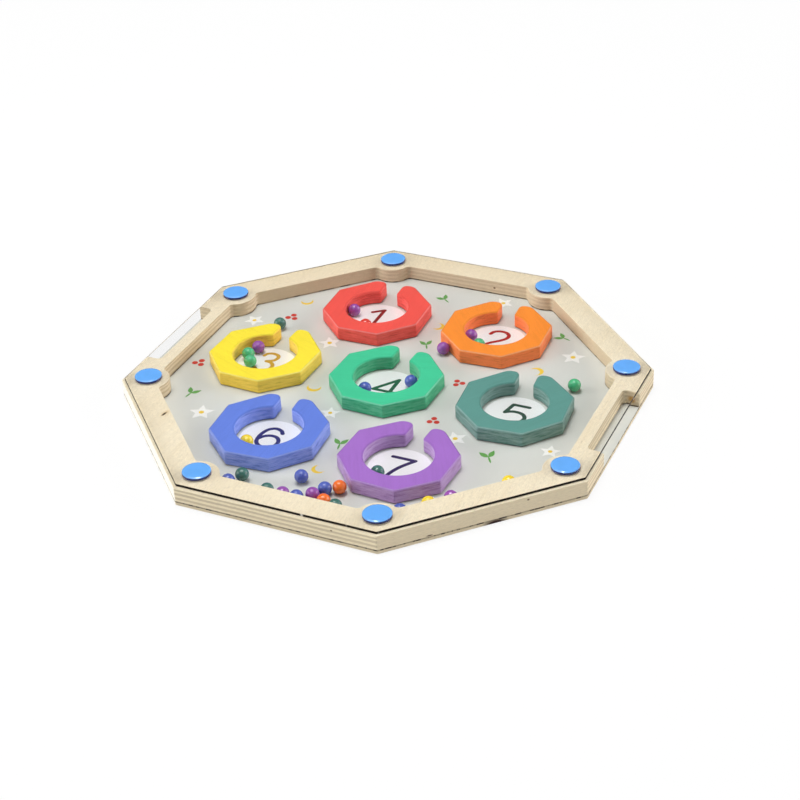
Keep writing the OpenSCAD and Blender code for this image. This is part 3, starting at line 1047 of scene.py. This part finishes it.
def petal(r0, r1, width, deg):
    """Leaf-shaped outline along a direction."""
    half = []
    for t in [i / PETAL_PARTS for i in range(PETAL_PARTS + 1)]:
        half.append((r0 + (r1 - r0) * t, width / 2 * math.sin(math.pi * t ** PETAL_LEAN)))
    loop = [Vector(p) for p in half] + [Vector((a, -b)) for a, b in half[-2:0:-1]]
    spin = Matrix.Rotation(math.radians(deg), 2)
    return [spin @ p for p in loop][::-1]


def star(size, turn):
    """A star of five points with a round middle."""
    tips = [polar(size * (0.48 if k % 2 else 1), turn + 36 * k) for k in range(10)]
    return [(tips, CHALK), (circle((0, 0), 0.2 * size, MOTIF_PARTS), GOLD)]


def sprig(size, turn):
    """Two leaves on a stem."""
    leaves = [(petal(0.1 * size, size, 0.42 * size, turn + s * 34), LEAF) for s in (-1, 1)]
    return leaves + [(petal(-0.7 * size, 0.3 * size, 0.16 * size, turn), LEAF)]


def berries(size, turn):
    """Three berries in a ring."""
    places = [polar(0.42 * size, turn + 120 * k) for k in range(3)]
    return [(circle(p, 0.3 * size, MOTIF_PARTS), BERRY) for p in places]


def moon(size, turn):
    """A crescent."""
    outer = arc((0, 0), 0.7 * size, turn + 60, turn + 300, MOTIF_PARTS)
    inner = arc(polar(0.32 * size, turn), 0.62 * size, turn + 282, turn + 78, 3 * MOTIF_PARTS // 4)
    return [(outer + inner, GOLD)]


# Each motif: kind, size in mm, turn, place
MOTIFS = [
    (star, 7.5, 8, (108, 29)), (star, 7, 30, (39, -54)), (star, 7.5, 15, (-104, -23)),
    (star, 6.5, 40, (69, 95)), (star, 7, 25, (-36, 51)), (star, 6, 5, (90, -68)),
    (star, 6.5, 50, (-84, 80)), (star, 6, 12, (-31, -26)),
    (sprig, 7.5, 100, (57, -73)), (sprig, 7, 60, (-113, -3)), (sprig, 6.5, 120, (33, 101)),
    (sprig, 7, 80, (-24, -58)), (sprig, 6.5, 140, (104, 51)), (sprig, 6.5, 95, (22, 46)),
    (berries, 6, 70, (-61, 83)), (berries, 5.5, 110, (41, 3)), (berries, 6, 60, (-112, 31)),
    (berries, 5.5, 80, (27, -36)),
    (moon, 6, 75, (-42, 1)), (moon, 6, 200, (86, 14)), (moon, 5.5, 100, (-53, 102)),
    (moon, 5.5, 30, (-34, -81)), (moon, 5.5, 150, (29, 68)),
]


def make_motifs():
    """The small motifs between the rings."""
    bm = bmesh.new()
    for make, size, turn, at in MOTIFS:
        for i, (loop, shade) in enumerate(make(size, turn)):
            area = sum(a.x * b.y - b.x * a.y for a, b in zip(loop, loop[1:] + loop[:1]))
            loop = [p + Vector(at) for p in (loop if area > 0 else loop[::-1])]
            add_slab(bm, [loop], [film_rows(BASE_T + FILM_STEP * i)], shade)
    inks = [ink("print_chalk", rgb(250, 250, 246)), ink("print_gold", rgb(244, 208, 74)),
            ink("print_leaf", rgb(104, 168, 84)), ink("print_berry", rgb(206, 60, 48))]
    piece(bm, "print_motifs", inks)


# Stage, light and camera, in metres

FLOOR_REACH = 30
FLOOR_Z = -0.0003
# How pale the floor is for light that it bounces and for the shadow on it, and its share of white
FLOOR_BOUNCE = 0.74
FLOOR_PAPER = 0.95
FLOOR_GLOW = 0.9


def seen(tree, *kinds):
    """1 for rays of these kinds."""
    path = add(tree, "LightPath").outputs
    out = path["Is %s Ray" % kinds[0]]
    for kind in kinds[1:]:
        out = math_node(tree, "MAXIMUM", out, path["Is %s Ray" % kind])
    return out


def make_floor():
    """A pale floor that keeps the shadow and looks white to the camera, in gloss and through glass."""
    bm = bmesh.new()
    bmesh.ops.create_grid(bm, x_segments=1, y_segments=1, size=FLOOR_REACH)
    mesh = bpy.data.meshes.new("floor")
    bm.to_mesh(mesh)
    bm.free()
    floor = bpy.data.objects.new("floor", mesh)
    floor.location.z = FLOOR_Z
    scene.collection.objects.link(floor)
    mat, t = new_tree("floor_white")
    bounce = add(t, "BsdfDiffuse", {"Color": (*[FLOOR_BOUNCE] * 3, 1)}).outputs[0]
    paper = add(t, "BsdfDiffuse", {"Color": (*[FLOOR_PAPER] * 3, 1)}).outputs[0]
    glow = add(t, "Emission", {"Color": WHITE, "Strength": 1.0}).outputs[0]
    white = add(t, "MixShader", {0: FLOOR_GLOW, 1: paper, 2: glow}).outputs[0]
    look = {0: seen(t, "Camera", "Glossy", "Transmission"), 1: bounce, 2: white}
    add(t, "OutputMaterial", {"Surface": add(t, "MixShader", look).outputs[0]})
    mesh.materials.append(mat)


# Broad patches of light on the studio's walls and ceiling: azimuth, elevation, cosines where the light
# starts and is full, strength
SOFTBOXES = [(186, 4, 0.8, 0.95, 5.4), (8, 4, 0.8, 0.95, 5.4), (0, 90, 0.7, 0.95, 0.6)]
FILL = 0.05


def make_world():
    """The studio's light, behind a white background for the camera."""
    world = bpy.data.worlds.new("studio")
    scene.world = world
    world.use_nodes = True
    t = world.node_tree
    t.nodes.clear()
    way = add(t, "TexCoord").outputs["Generated"]
    light = FILL
    for azimuth, elevation, start, end, strength in SOFTBOXES:
        flat = polar(math.cos(math.radians(elevation)), azimuth)
        near = dot(t, way, (*flat, math.sin(math.radians(elevation))))
        inputs = {0: near, 1: start, 2: end, 3: 0.0, 4: strength}
        patch = add(t, "MapRange", inputs, interpolation_type="SMOOTHSTEP").outputs[0]
        light = math_node(t, "ADD", light, patch)
    studio = add(t, "Background", {"Color": light, "Strength": 1.0}).outputs[0]
    white = add(t, "Background", {"Color": WHITE, "Strength": 1.0}).outputs[0]
    look = {0: seen(t, "Camera"), 1: studio, 2: white}
    add(t, "OutputWorld", {"Surface": add(t, "MixShader", look).outputs[0]})


# Lamps over the board, which aim at its centre: name, place, width and depth, watts
LAMPS = [("key", (-0.3, 0.1, 1.5), (1.1, 1.1), 6.2), ("strip", (-0.08, 0.07, 1.4), (0.5, 0.24), 5.6)]


def make_lamps():
    """The lamps, as soft oval areas."""
    for name, place, size, watts in LAMPS:
        lamp = bpy.data.lights.new(name, "AREA")
        lamp.shape = "ELLIPSE"
        lamp.size, lamp.size_y = size
        lamp.energy = watts
        obj = bpy.data.objects.new(name, lamp)
        obj.location = place
        obj.rotation_euler = (-Vector(place)).to_track_quat("-Z", "Y").to_euler()
        scene.collection.objects.link(obj)


# The camera: place in mm, directions to the right and up in the picture, picture width and focal
# length in pixels, sensor width in mm
CAMERA_AT = Vector((48.41, -828.3, 522.9))
CAMERA_RIGHT = Vector((0.99896, 0.02578, -0.03752))
CAMERA_UP = Vector((0.01773, 0.53861, 0.84237))
PICTURE_W = 800
FOCAL = 1709.6
SENSOR_W = 36
# Nearest and farthest distance that the camera sees, in metres
CLIP_START = 0.05
CLIP_END = 20


def place_camera():
    """The camera, at the photograph's viewing angle."""
    cam = bpy.data.objects.new("camera", bpy.data.cameras.new("camera"))
    scene.collection.objects.link(cam)
    cam.data.sensor_width = SENSOR_W
    cam.data.lens = FOCAL * SENSOR_W / PICTURE_W
    cam.data.clip_start = CLIP_START
    cam.data.clip_end = CLIP_END
    turn = Matrix((CAMERA_RIGHT, CAMERA_UP, CAMERA_RIGHT.cross(CAMERA_UP))).transposed()
    cam.matrix_world = Matrix.Translation(CAMERA_AT * MM) @ turn.to_4x4()
    scene.camera = cam


make_frame()
make_base()
make_cover()
make_caps()
make_screws()
make_rings()
dress_balls()
make_discs()
make_numerals()
make_motifs()
make_floor()
scene.view_settings.view_transform = "Standard"
make_world()
make_lamps()
place_camera()
